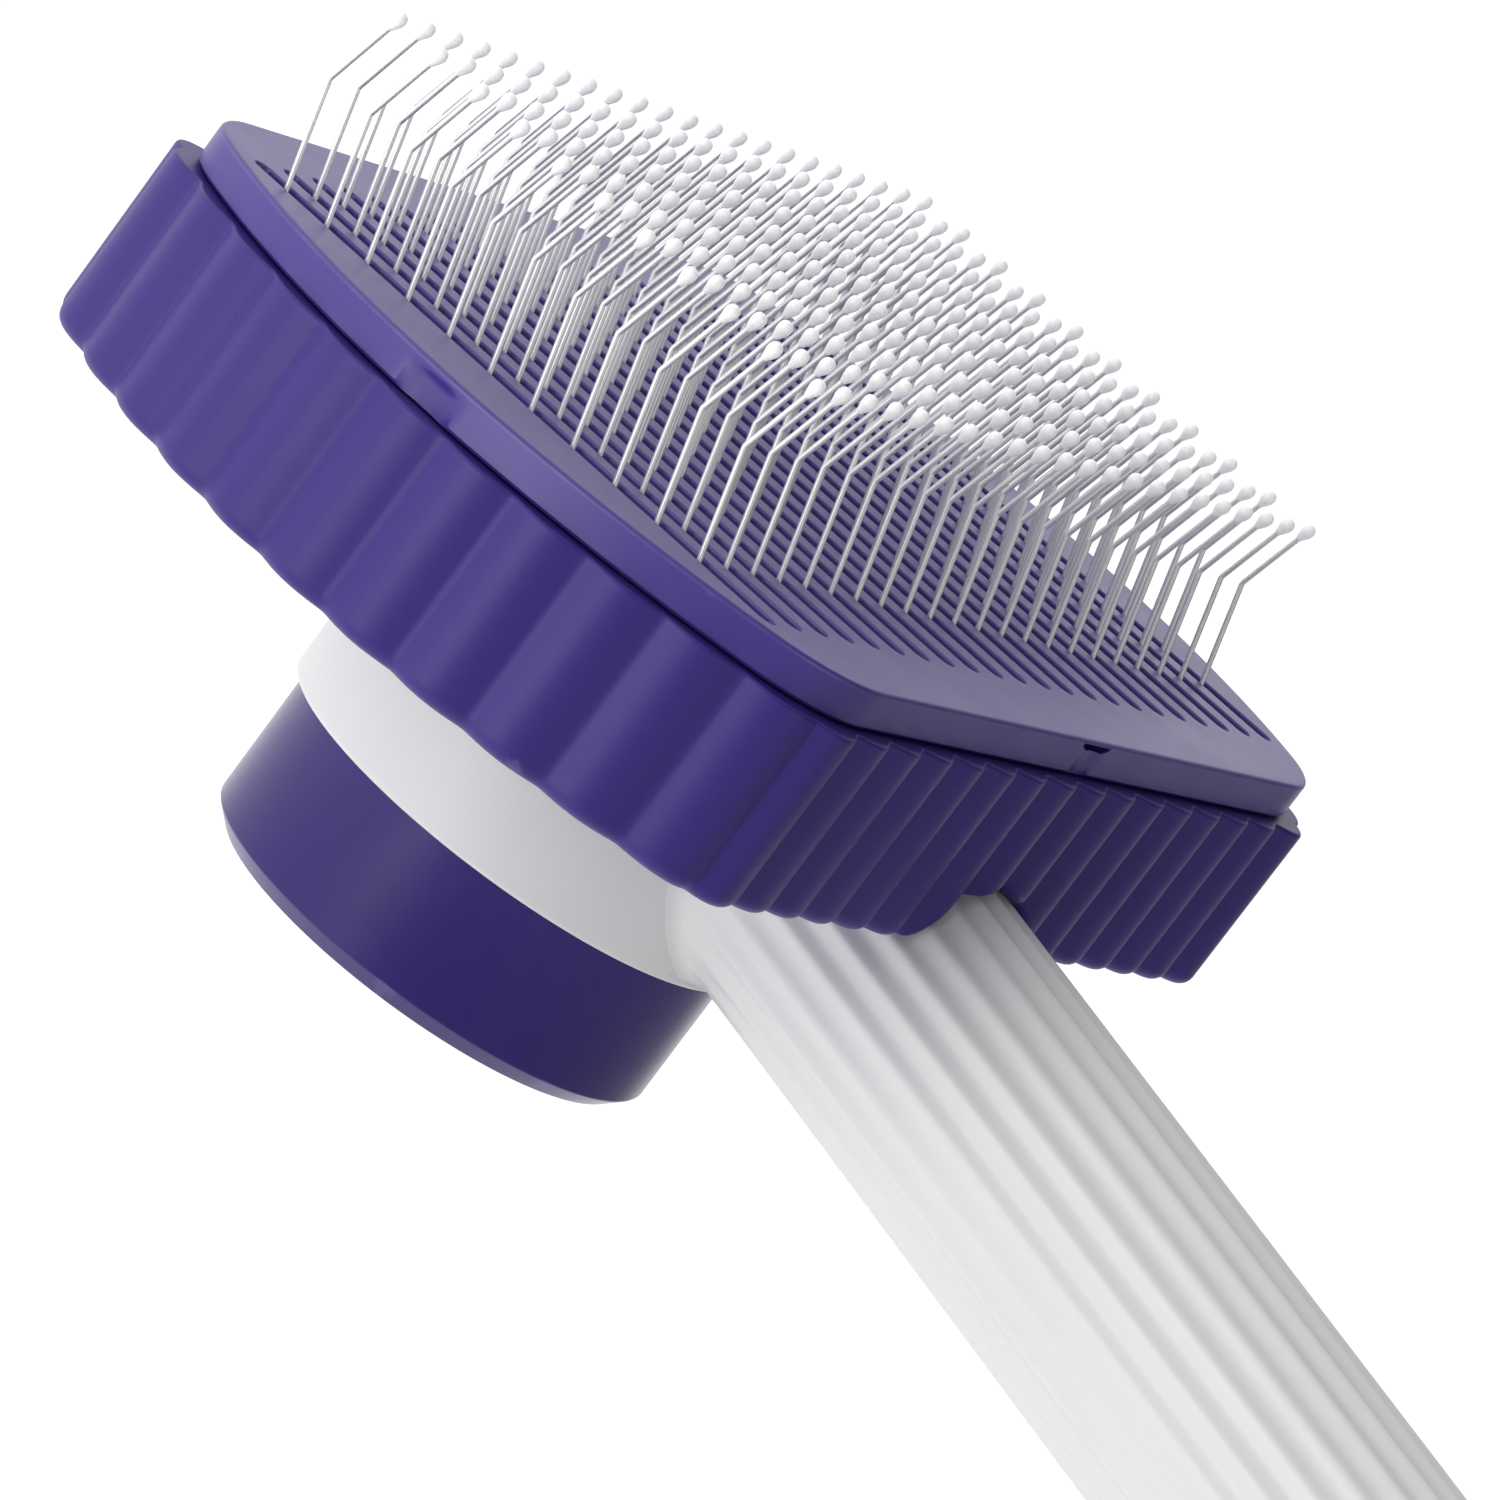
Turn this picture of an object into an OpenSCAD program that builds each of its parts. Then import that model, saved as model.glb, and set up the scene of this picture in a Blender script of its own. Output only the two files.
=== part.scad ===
// Self-cleaning slicker brush for pet coats: a wide head of bent wire pins, a slotted
// plate that rises along the pins to push off the hair, and a round button that lifts it.
// Units are millimetres. The origin is the middle of the button's flat face.
// +Z points out of the head along the pins, and the handle leaves towards -Y.

/* [Head] */
// Radius of the two bulging short sides of the cleaning plate
plate_end_r = 56; // [55:0.5:57]
// Half of the plate's depth between its two straight long sides
plate_half_y = 35; // [34.5:0.5:36]
// Corner radius of the plate
plate_corner_r = 11; // [10:0.5:12]
// How far the fluted shell stands out beyond the plate
shell_margin = 1.6; // [1.4:0.1:2]
// Height of the fluted shell
shell_h = 15.95; // [15:0.05:17]
// Corner radius of the fluted shell
shell_corner_r = 6; // [5:0.5:8]
// Depth of the flutes in the shell's wall
flute_depth = 1; // [0.5:0.1:1.2]
// Number of flutes on each straight long side
flutes_long = 15; // [13:1:17]
// Number of flutes around each short side with its two corners
flutes_short = 12; // [10:1:14]

/* [Bristles] */
// Slots in the plate, and pins across the head
columns = 22; // [18:2:22]
// Pins along each slot
rows = 11; // [9:1:11]
// Distance from slot to slot
column_pitch = 4.35; // [4.3:0.05:4.4]
// Distance from pin to pin along a slot
row_pitch = 4.5; // [4.4:0.05:4.5]
// Thickness of the pin wire
wire_d = 0.4; // [0.36:0.02:0.5]
// Height of the bend above the resting plate
bend_h = 8.3; // [8:0.1:8.6]
// How far the lower part of a pin leans away from the handle, up to the bend
bend_lean = 2.45; // [2.2:0.05:2.6]
// Height of the upper part of a pin, from the bend to the middle of its tip
upper_h = 6.75; // [6.5:0.05:7]
// How far the upper part of a pin leans back towards the handle
upper_lean = 1.85; // [1.6:0.05:2]
// Diameter of the rounded safety tips
tip_d = 1.2; // [1.1:0.1:1.4]

/* [Cleaning plate] */
// Width of the slots
slot_w = 1.8; // [1.6:0.1:1.9]
// Half of the slots' length
slot_half = 28; // [27.8:0.1:28.2]
// Travel of the button and the plate
travel = 12; // [10:0.5:12]

/* [Collar and button] */
// Radius of the button
button_r = 20.4; // [20.2:0.1:20.4]
// Radius of the collar around the button
collar_r = 21.4; // [21.4:0.1:22]
// Height of the button that shows below the collar
button_show = 13.1; // [13.1:0.1:14]

/* [Handle] */
// Diameter of the handle over its ridges
handle_d = 22.7; // [22.3:0.1:23.7]
// Tilt of the handle below the plane of the head
handle_tilt = 10.2; // [10:0.1:10.4]
// Number of flutes around the handle
handle_flutes = 24; // [20:2:26]
// Length of the handle's tube, from the button's axis to the end cap
handle_len = 143; // [130:1:150]
// Radius of the hang hole in the end cap
hang_r = 2.5; // [2:0.1:3]

/* [Hidden] */
$fn = 48;

violet = [0.29, 0.24, 0.50];
dark_violet = [0.22, 0.18, 0.40];
lilac = [0.42, 0.38, 0.58];
white = [0.92, 0.92, 0.93];
steel = [0.78, 0.79, 0.80];
pearl = [0.96, 0.96, 0.97];

// Levels, from the button's face upwards
collar_low = button_show;
plate_top = 48.6;
plate_t = 1.8;
plate_wall_h = 3.1;
plate_wall_t = 1.6;
plate_under = plate_top - plate_t;
shell_top = plate_top - 3.4;
shell_low = shell_top - shell_h;
bed_t = 3;
bed_low = shell_top - bed_t;
backing_t = 1.2;
backing_low = bed_low - backing_t;
deck_t = 2;
deck_low = backing_low - deck_t;
collar_roof = deck_low - 3.4;
bore_step = 29.5;
fit = 0.05;
clear = 0.3;

// Shell and bed outlines, as distances in from the plate's outline
recess_in = 2;
bed_in = 2.15;
plate_inner_in = plate_wall_t;

// Marks in the plate's wall: a half-round groove under a pocket on the long sides,
// and a shallow thumb scallop on the short sides
groove_r = 2.3;
groove_out = 1;
groove_drop = 0.95;
pocket = [4, 1.6, 0.5];
pocket_drop = 0.45;
scallop_r = 6;
scallop_depth = 0.6;
scallop_drop = 0.5;

// Ejector: rails and cross bars under the plate, and the rods and pins below them
frame_t = 1.4;
frame_low = plate_under - frame_t;
rail_in = 29.7;
rail_out = 33.1;
rail_half = 35;
bar_w = 2.4;
bar_x = [3, 7] * column_pitch;
rod_x = 3 * column_pitch;
rod_y = 9;
rod_r = 1.25;
rod_spigot_r = 0.8;
guide_x = 31;
guide_y = 30.9;
guide_r = 1.2;
guide_low = 30.6;
rod_places = [for (sx = [-1, 1]) for (sy = [-1, 1]) [sx * rod_x, sy * rod_y]];
guide_places = [for (sx = [-1, 1]) for (sy = [-1, 1]) [sx * guide_x, sy * guide_y]];

// Plunger, button and spring
disc_low = 11;
disc_top = 13.5;
disc_r = 18;
button_wall = 2;
button_face_t = 2.2;
button_wall_top = 16;
button_bevel = 1.5;
boss_r = 2.6;
boss_ring = 12;
spring_r = 7.5;
spring_wire = 1.1;
spring_turns = 7;
spring_low = disc_top + spring_wire / 2;
spring_high = collar_roof - spring_wire / 2;

// Screws: shank radius, head radius, head height
bed_screw = [1.0, 1.8, 1.1];
neck_screw = [1.25, 2.4, 1.2];
button_screw = [1.0, 1.9, 1.4];
bed_screw_len = 6.2;
neck_screw_len = 4.6;
button_screw_len = 8;
bed_screw_places = [[50.3, 9], [50.3, -9], [-50.3, 9], [-50.3, -9], [0, 30.7], [0, -30.7]];
neck_screw_places = [[0, 15.5], [0, -15.5], [16, 0], [-16, 0]];

// Handle
handle_r = handle_d / 2;
handle_z = 29.3;
grip_start = 15;
grip_flute_depth = 0.5;
core_r = 8.4;
core_start = 34;
cap_len = 8.5;
cap_plug = 9;
hang_back = 5;
cap_flat_x = 8.5;
cap_flat_low = 1.6;
// The end cap's dome: distances in from the grip's radius, and heights above its foot
cap_dome = [[0, 3.5], [0.65, 5.6], [1.95, 7.2], [3.95, 8.2], [6.65, 8.5]];

// Pins: the grid sits half a row off the middle, because the pins bend back over it
grid_y = row_pitch / 2;
row_mid = (rows - 1) / 2;
wire_r = wire_d / 2;
lower_angle = atan2(bend_lean, bend_h);
upper_angle = atan2(upper_lean, upper_h);
mitre_angle = (upper_angle - lower_angle) / 2;
mitre_cut = 6 * wire_d;
root_z = bed_low + 0.1;
root_drop = (plate_top - root_z) / cos(lower_angle);
lower_len = root_drop + norm([bend_lean, bend_h]);
upper_len = norm([upper_lean, upper_h]);
group_ends = [0, floor(columns / 4), columns / 2, ceil(columns * 3 / 4), columns];

function corner_x(r, h, c) = sqrt((r - c) ^ 2 - (h - c) ^ 2);
function corner_angle(r, h, c) = atan2(h - c, corner_x(r, h, c));

// Right-hand end of the outline, from its lower corner to its upper corner
function right_end(r, h, c, n_side, n_corner) =
    let (cx = corner_x(r, h, c), a = corner_angle(r, h, c))
    concat(
        [for (i = [0 : n_corner - 1])
            [cx, c - h] + c * dir(-90 + (90 - a) * i / n_corner)],
        [for (i = [0 : n_side]) r * dir(-a + 2 * a * i / n_side)],
        [for (i = [1 : n_corner])
            [cx, h - c] + c * dir(a + (90 - a) * i / n_corner)]);
function dir(t) = [cos(t), sin(t)];

// The head's outline, moved in by a distance
function outline(inward) =
    let (half = right_end(plate_end_r - inward, plate_half_y - inward,
                          plate_corner_r - inward, 20, 6))
    concat(half, -half);

// A point of the fluted outline's short end at a length s along it, and its outward normal
function end_frame(r, h, c, s) =
    let (cx = corner_x(r, h, c), a = corner_angle(r, h, c), deg = 180 / PI,
         lc = c * (90 - a) / deg, ls = r * 2 * a / deg)
    s < lc ? let (t = -90 + s / c * deg) [[cx, c - h] + c * dir(t), dir(t)]
    : s < lc + ls ? let (t = -a + (s - lc) / r * deg) [r * dir(t), dir(t)]
    : let (t = a + (s - lc - ls) / c * deg) [[cx, h - c] + c * dir(t), dir(t)];

function end_length(r, h, c) =
    let (a = corner_angle(r, h, c))
    (c * 2 * (90 - a) + r * 2 * a) * PI / 180;

// Depth of a flute: an even wave from crest to crest
function flute(u) = flute_depth * sin(180 * u) ^ 2;

flute_steps = 6;
function fluted_half(r, h, c) =
    let (len = end_length(r, h, c), cx = corner_x(r, h, c),
         ns = flutes_short * flute_steps, nl = flutes_long * flute_steps)
    concat(
        [for (i = [0 : ns - 1])
            let (f = end_frame(r, h, c, len * i / ns))
            f[0] - f[1] * flute(i / flute_steps)],
        [for (i = [0 : nl - 1])
            [cx * (1 - 2 * i / nl), h - flute(i / flute_steps)]]);

function shell_outline() =
    let (half = fluted_half(plate_end_r + shell_margin, plate_half_y + shell_margin,
                            shell_corner_r))
    concat(half, -half);

module slab(points, low, high)
    translate([0, 0, low]) linear_extrude(high - low) polygon(points);

module at_places(places) for (p = places) translate([p.x, p.y, 0]) children();

module post(r, low, high) translate([0, 0, low]) cylinder(r = r, h = high - low);

// Along the handle: the child's +Z runs down the handle's axis, and its +X stays +X
module on_handle(s)
    translate([0, 0, handle_z]) rotate([90 + handle_tilt, 0, 0]) translate([0, 0, s]) children();

// A slot with round ends
module slot(x, half, w, low, high)
    slab(concat([for (i = [0 : 6]) [x, half - w / 2] + w / 2 * dir(30 * i)],
                [for (i = [6 : 12]) [x, w / 2 - half] + w / 2 * dir(30 * i)]), low, high);

// A pan-head screw standing on its head, its shank pointing down from z = 0
module screw(s, len) {
    difference() {
        post(s[1], 0, s[2]);
        translate([-s[1] * 0.6, -0.25, s[2] - 0.6]) cube([s[1] * 1.2, 0.5, 1]);
        translate([-0.25, -s[1] * 0.6, s[2] - 0.6]) cube([0.5, s[1] * 1.2, 1]);
    }
    post(s[0], -len, 0);
}

module head_shell() color(violet)
    difference() {
        slab(shell_outline(), shell_low, shell_top);
        slab(outline(recess_in), backing_low, shell_top + 1);
        slab(outline(recess_in), shell_low - 1, deck_low);
        at_places(rod_places) post(rod_r + clear, deck_low - 1, backing_low + 1);
        at_places(guide_places) post(guide_r + clear, deck_low - 1, backing_low + 1);
        at_places(bed_screw_places) post(bed_screw[0], deck_low - 1, backing_low + 1);
        at_places(neck_screw_places) post(neck_screw[0], deck_low - 1, backing_low + 1);
        at_places(neck_screw_places)
            post(neck_screw[1] + 0.1, backing_low - neck_screw[2], backing_low + 1);
        on_handle(collar_r + 0.5) cylinder(r = handle_r + clear, h = 40, $fn = 96);
    }

module bristle_bed() color(dark_violet)
    difference() {
        slab(outline(bed_in), bed_low, shell_top);
        at_places(rod_places) post(rod_r + clear, bed_low - 1, shell_top + 1);
        at_places(guide_places) post(guide_r + fit, bed_low - 1, shell_top + 1);
        at_places(bed_screw_places) post(bed_screw[0] + 0.2, bed_low - 1, shell_top + 1);
        at_places(bed_screw_places)
            post(bed_screw[1] + 0.2, shell_top - bed_screw[2] - 0.1, shell_top + 1);
    }

module backing_plate() color(lilac)
    difference() {
        slab(outline(bed_in), backing_low, bed_low);
        at_places(rod_places) post(rod_r + clear, backing_low - 1, bed_low + 1);
        at_places(guide_places) post(guide_r + clear, backing_low - 1, bed_low + 1);
        at_places(bed_screw_places) post(bed_screw[0] + 0.2, backing_low - 1, bed_low + 1);
    }

// One pin, bent at [0, bend_lean, bend_h]: two lengths of wire that meet in a mitre
module pin_wire()
    translate([0, bend_lean, bend_h]) {
        difference() {
            rotate([-lower_angle, 0, 0]) translate([0, 0, -lower_len])
                cylinder(r = wire_r, h = lower_len + wire_d);
            rotate([mitre_angle, 0, 0]) translate([-mitre_cut / 2, -mitre_cut / 2, 0])
                cube(mitre_cut);
        }
        difference() {
            rotate([upper_angle, 0, 0]) translate([0, 0, -wire_d])
                cylinder(r = wire_r, h = upper_len + wire_d);
            rotate([mitre_angle, 0, 0]) translate([-mitre_cut / 2, -mitre_cut / 2, -mitre_cut])
                cube(mitre_cut);
        }
    }

function pin_place(c, r) =
    [(c - (columns - 1) / 2) * column_pitch, grid_y + (r - row_mid) * row_pitch];

// The pins of one of four groups of slots, counted from -X
module at_pins(group)
    for (c = [group_ends[group - 1] : group_ends[group] - 1])
        for (r = [0 : rows - 1])
            translate([pin_place(c, r).x, pin_place(c, r).y, plate_top]) children();

module bristle_wires(group) color(steel) at_pins(group) pin_wire();
module bristle_wires_1() bristle_wires(1);
module bristle_wires_2() bristle_wires(2);
module bristle_wires_3() bristle_wires(3);
module bristle_wires_4() bristle_wires(4);

// A drop-shaped tip, blunt at its end and drawn out along the wire
module tip_drop()
    rotate_extrude($fn = 16)
        polygon(tip_d / 2 * [[0, -1.85], [0.5, -1.85], [0.6, -1.4], [0.87, -0.65], [1, 0],
                             [0.9, 0.47], [0.55, 0.83], [0, 1]]);

module bristle_tips(group) color(pearl)
    at_pins(group) translate([0, bend_lean - upper_lean, bend_h + upper_h])
        rotate([upper_angle, 0, 0]) tip_drop();

module bristle_tips_1() bristle_tips(1);
module bristle_tips_2() bristle_tips(2);
module bristle_tips_3() bristle_tips(3);
module bristle_tips_4() bristle_tips(4);

module bed_screws() color(steel)
    at_places(bed_screw_places)
        translate([0, 0, shell_top - bed_screw[2] - 0.1]) screw(bed_screw, bed_screw_len);

// Round grip section with a shallow wave around it
module handle_section(r, flutes, depth, steps = 5)
    polygon([for (i = [0 : flutes * steps - 1])
        (r - depth * sin(180 * i / steps) ^ 2) * dir(360 * i / (flutes * steps))]);

module handle_body() color(white)
    difference() {
        union() {
            post(collar_r, collar_low, deck_low, $fn = 96);
            on_handle(grip_start) linear_extrude(handle_len - grip_start)
                handle_section(handle_r, handle_flutes, grip_flute_depth);
        }
        post(button_r + clear, collar_low - 8, bore_step);
        post(button_r - 1, bore_step - 1, collar_roof);
        at_places(rod_places) post(rod_r + fit, collar_roof - 1, deck_low + 1);
        at_places(neck_screw_places) post(neck_screw[0], collar_roof - 1, deck_low + 1);
        on_handle(core_start) cylinder(r = core_r, h = handle_len);
    }

module neck_screws() color(steel)
    at_places(neck_screw_places)
        translate([0, 0, backing_low - neck_screw[2]]) screw(neck_screw, neck_screw_len);

module end_cap() color(white)
    on_handle(handle_len)
        difference() {
            rotate_extrude($fn = 96)
                polygon(concat([[0, -cap_plug], [core_r - 0.6, -cap_plug],
                                [core_r, -cap_plug + 0.8], [core_r, 0], [handle_r, 0]],
                               [for (p = cap_dome) [handle_r - p.x, p.y]], [[0, cap_len]]));
            rotate([0, 90, 0]) translate([-hang_back, 0, -20])
                cylinder(r = hang_r, h = 40);
            translate([cap_flat_x, -6, cap_flat_low]) cube([10, 12, 20]);
            translate([-cap_flat_x - 10, -6, cap_flat_low]) cube([10, 12, 20]);
        }

// Coil height at a turn: the first and last turns lie flat
function coil_z(t) =
    let (flat = 0.8, u = (t - flat) / (spring_turns - 2 * flat))
    u < 0 ? spring_low + t / flat * spring_wire
    : u > 1 ? spring_high - (spring_turns - t) / flat * spring_wire
    : spring_low + spring_wire + u * (spring_high - spring_low - 2 * spring_wire);

module return_spring() color(steel) {
    per_turn = 20;
    sides = 8;
    n = spring_turns * per_turn;
    points = [for (i = [0 : n]) for (k = [0 : sides - 1])
        let (a = 360 * i / per_turn, b = 360 * k / sides,
             r = spring_r + spring_wire / 2 * cos(b))
        [r * cos(a), r * sin(a), coil_z(i / per_turn) + spring_wire / 2 * sin(b)]];
    skin = [for (i = [0 : n - 1]) for (k = [0 : sides - 1])
        let (k2 = (k + 1) % sides)
        [i * sides + k, i * sides + k2, (i + 1) * sides + k2, (i + 1) * sides + k]];
    first = [for (k = [0 : sides - 1]) sides - 1 - k];
    last = [for (k = [0 : sides - 1]) n * sides + k];
    polyhedron(points, concat(skin, [first], [last]));
}

module cleaning_plate() color(violet)
    difference() {
        slab(outline(0), plate_top - plate_wall_h, plate_top);
        slab(outline(plate_inner_in), plate_top - plate_wall_h - 1, plate_under);
        for (c = [0 : columns - 1])
            slot(pin_place(c, 0).x, slot_half, slot_w, plate_under - 1, plate_top + 1);
        for (side = [-1, 1]) {
            translate([0, side * (plate_half_y + groove_out), 0])
                post(groove_r, plate_top - plate_wall_h - 1, plate_top - groove_drop);
            translate([-pocket.x / 2, side * plate_half_y - pocket.y,
                       plate_top - pocket_drop - pocket.z])
                cube([pocket.x, 2 * pocket.y, pocket.z]);
            translate([side * (plate_end_r + scallop_r - scallop_depth), 0, 0])
                post(scallop_r, plate_top - plate_wall_h - 1, plate_top - scallop_drop);
        }
    }

module ejector_frame() color(lilac)
    difference() {
        union() {
            for (side = [-1, 1])
                translate([-rail_half, side * (rail_in + rail_out) / 2 - (rail_out - rail_in) / 2,
                           frame_low])
                    cube([2 * rail_half, rail_out - rail_in, frame_t]);
            for (x = concat(bar_x, -bar_x))
                translate([x - bar_w / 2, -rail_in - 1, frame_low])
                    cube([bar_w, 2 * rail_in + 2, frame_t]);
        }
        at_places(rod_places) post(rod_spigot_r, frame_low - 1, plate_under + 1);
        at_places(guide_places) post(rod_spigot_r, frame_low - 1, plate_under + 1);
    }

module guide_pins() color(steel)
    at_places(guide_places) {
        post(guide_r, guide_low, frame_low);
        post(rod_spigot_r, frame_low, plate_under);
    }

module push_rods() color(steel)
    at_places(rod_places) {
        post(rod_spigot_r, disc_low, disc_top);
        post(rod_r, disc_top, frame_low);
        post(rod_spigot_r, frame_low, plate_under);
    }

boss_places = [for (i = [0 : 2]) boss_ring * dir(90 + 120 * i)];

module plunger_disc() color(white)
    difference() {
        union() {
            post(disc_r, disc_low, disc_top);
            post(spring_r - spring_wire / 2 - 0.5, disc_top, disc_top + 3);
        }
        at_places(rod_places) post(rod_spigot_r, disc_low - 1, disc_top + 1);
        at_places(boss_places) post(button_screw[0] + 0.2, disc_low - 1, disc_top + 1);
    }

module button_cap() color(violet)
    difference() {
        union() {
            difference() {
                rotate_extrude($fn = 96)
                    polygon([[0, 0], [button_r - button_bevel, 0], [button_r, button_bevel],
                             [button_r, button_wall_top], [0, button_wall_top]]);
                post(button_r - button_wall, button_face_t, button_wall_top + 1);
            }
            at_places(boss_places) post(boss_r, button_face_t - 0.5, disc_low);
        }
        at_places(boss_places) post(button_screw[0], 4, disc_low + 1);
    }

module button_screws() color(steel)
    at_places(boss_places) translate([0, 0, disc_top]) screw(button_screw, button_screw_len);

head_shell();
bristle_bed();
backing_plate();
bristle_wires_1();
bristle_wires_2();
bristle_wires_3();
bristle_wires_4();
bristle_tips_1();
bristle_tips_2();
bristle_tips_3();
bristle_tips_4();
bed_screws();
handle_body();
neck_screws();
end_cap();
return_spring();
cleaning_plate();
ejector_frame();
guide_pins();
push_rods();
plunger_disc();
button_cap();
button_screws();
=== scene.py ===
"""Looks of a self-cleaning slicker brush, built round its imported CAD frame.

Metres throughout, in the frame of the CAD model: the origin is the middle of the button's face,
+Z runs out of the head along the pins, and the handle leaves towards -Y.
"""
import math

import bpy
from mathutils import Matrix, Vector
from mathutils.geometry import delaunay_2d_cdt


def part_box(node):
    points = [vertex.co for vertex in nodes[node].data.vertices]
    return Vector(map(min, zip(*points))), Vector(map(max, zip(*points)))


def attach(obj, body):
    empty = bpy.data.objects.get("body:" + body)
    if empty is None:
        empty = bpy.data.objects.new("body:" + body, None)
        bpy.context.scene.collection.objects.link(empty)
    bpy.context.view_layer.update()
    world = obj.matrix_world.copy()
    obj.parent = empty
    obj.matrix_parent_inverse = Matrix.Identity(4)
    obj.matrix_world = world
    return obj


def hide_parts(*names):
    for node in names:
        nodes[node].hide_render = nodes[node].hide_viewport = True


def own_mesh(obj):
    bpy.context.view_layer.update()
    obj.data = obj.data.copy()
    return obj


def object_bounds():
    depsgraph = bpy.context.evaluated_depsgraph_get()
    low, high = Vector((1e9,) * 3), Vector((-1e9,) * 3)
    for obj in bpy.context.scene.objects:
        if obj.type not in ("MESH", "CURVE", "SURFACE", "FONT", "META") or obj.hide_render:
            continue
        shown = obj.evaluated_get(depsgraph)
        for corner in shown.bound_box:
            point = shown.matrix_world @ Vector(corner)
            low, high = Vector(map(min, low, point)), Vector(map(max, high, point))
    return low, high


MM = 0.001
QUARTER = math.pi / 2
TURN = 2 * math.pi

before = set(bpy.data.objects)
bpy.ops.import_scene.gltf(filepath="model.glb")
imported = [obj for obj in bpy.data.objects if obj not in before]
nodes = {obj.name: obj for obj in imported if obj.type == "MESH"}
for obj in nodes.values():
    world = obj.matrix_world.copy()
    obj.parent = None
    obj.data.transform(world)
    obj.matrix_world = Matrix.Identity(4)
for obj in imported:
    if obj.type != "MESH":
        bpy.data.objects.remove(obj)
cad_low, cad_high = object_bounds()
BODY = "brush_body"
MOVING = "ejector"
scene = bpy.context.scene


# ---------------------------------------------------------------- sizes

plate_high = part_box("cleaning_plate")[1]
shell_low, shell_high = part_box("head_shell")
bed_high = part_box("bristle_bed")[1]
backing_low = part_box("backing_plate")[0]
button_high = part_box("button_cap")[1]
body_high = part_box("handle_body")[1]
spring_low, spring_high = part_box("return_spring")

# Cleaning plate: its outline's bulging sides are arcs about the origin
PLATE_R = plate_high.x
PLATE_HALF_Y = plate_high.y
PLATE_CORNER = 11 * MM
PLATE_TOP = plate_high.z
PLATE_LOW = shell_high.z + 0.2 * MM
PLATE_T = 1.8 * MM
PLATE_WALL = 1.6 * MM
SLOT_R = 0.9 * MM
SLOT_HALF = 28 * MM

# Head shell: HOLLOW_EASE rounds the hollows' bottoms, END_EASE is the depth lost on the short sides
SHELL_MARGIN = shell_high.y - PLATE_HALF_Y
SHELL_TOP = shell_high.z
SHELL_LOW = shell_low.z
DECK_TOP = backing_low.z
DECK_LOW = body_high.z
RECESS_IN = 2 * MM
SHELL_CORNER = 6 * MM
FLUTE_DEPTH = 1.0 * MM
HOLLOW_EASE = 0.1
END_EASE = 0.15
FLUTES_SHORT = 12
FLUTES_LONG = 15
ROD_HOLE_R = 1.5 * MM
ROD_PLACES = [(sx * 13.05 * MM, sy * 9 * MM) for sx in (-1, 1) for sy in (-1, 1)]
GUIDE_PLACES = [(sx * 31 * MM, sy * 30.9 * MM) for sx in (-1, 1) for sy in (-1, 1)]

# Pins: a lower length that leans towards +Y, a bend, and an upper length that leans back
COLUMNS = 22
ROWS = 11
COLUMN_PITCH = 4.35 * MM
ROW_PITCH = 4.5 * MM
GROUP_ENDS = [0, 5, 11, 17, 22]
WIRE_R = 0.225 * MM
BEND_H = 8.3 * MM
BEND_LEAN = 2.45 * MM
UPPER_H = 6.75 * MM
UPPER_LEAN = 1.85 * MM
BEND_R = 0.6 * MM

# Collar and the button in it
COLLAR_R = 21.4 * MM
COLLAR_LOW = 13.1 * MM
COLLAR_ROOF = 35.6 * MM
BORE_R = 20.7 * MM
BORE_STEP_R = 19.4 * MM
BORE_STEP = 29.5 * MM
BUTTON_R = button_high.x
BUTTON_TOP = button_high.z
BUTTON_WALL = 2 * MM
BUTTON_FLOOR = 2.2 * MM
BUTTON_BEVEL = 1.5 * MM
BOSS_R = 2.6 * MM
BOSS_TOP = 11 * MM
BOSS_HOLE_R = 1.0 * MM
BOSS_HOLE_LOW = 4 * MM
BOSS_RING = 12 * MM

# Handle
HANDLE_R = 11.35 * MM
HANDLE_Z = 29.3 * MM
HANDLE_TILT = math.radians(10.2)
HANDLE_LEN = 143 * MM
HANDLE_FLUTES = 24
HANDLE_DEPTH = 0.5 * MM


# ---------------------------------------------------------------- camera

CAM_AIM = Vector((2.0, -11.2, 29.35)) * MM
CAM_DISTANCE = 670 * MM
CAM_AZIMUTH = math.radians(-66.0)
CAM_ELEVATION = math.radians(12.18)
CAM_ROLL = math.radians(36.88)
CAM_LENS = 207.4
SENSOR_WIDTH = 36


def make_camera():
    """The photograph's viewpoint: past a short side of the head, a little above it, and rolled."""
    camera = bpy.data.objects.new("camera", bpy.data.cameras.new("camera"))
    scene.collection.objects.link(camera)
    flat = math.cos(CAM_ELEVATION)
    back = Vector((math.sin(CAM_AZIMUTH) * flat, -math.cos(CAM_AZIMUTH) * flat,
                   math.sin(CAM_ELEVATION)))
    level = back.to_track_quat("Z", "Y").to_matrix()
    camera.matrix_world = (
        Matrix.Translation(CAM_AIM + back * CAM_DISTANCE)
        @ (level @ Matrix.Rotation(CAM_ROLL, 3, "Z")).to_4x4()
    )
    camera.data.lens = CAM_LENS
    camera.data.sensor_width = SENSOR_WIDTH
    camera.data.clip_start = 0.01
    camera.data.clip_end = 50
    scene.camera = camera


make_camera()


# ---------------------------------------------------------------- materials

# Sockets of a mix node that blends two colours
MIX_A = 6
MIX_B = 7
MIX_RESULT = 2

# Scales of the plastics' noise, and the share of the steel's noise scale that is left along its streaks
CLOUDS = 55.0
SMEARS = 140.0
SCUFF_AND_SHEEN_PATCHES = 420.0
# Scale of the patches in the lighter edges, scuffs with a painted highlight
GRAINS = 2600.0
STREAK_STRETCH = 0.06

# Pointiness at which the lighter edges, scuffs with a painted highlight, start and are full; it is 0.5
# where a surface is flat
SCUFF_AND_SHEEN_START = 0.53
SCUFF_AND_SHEEN_FULL = 0.62


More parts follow.
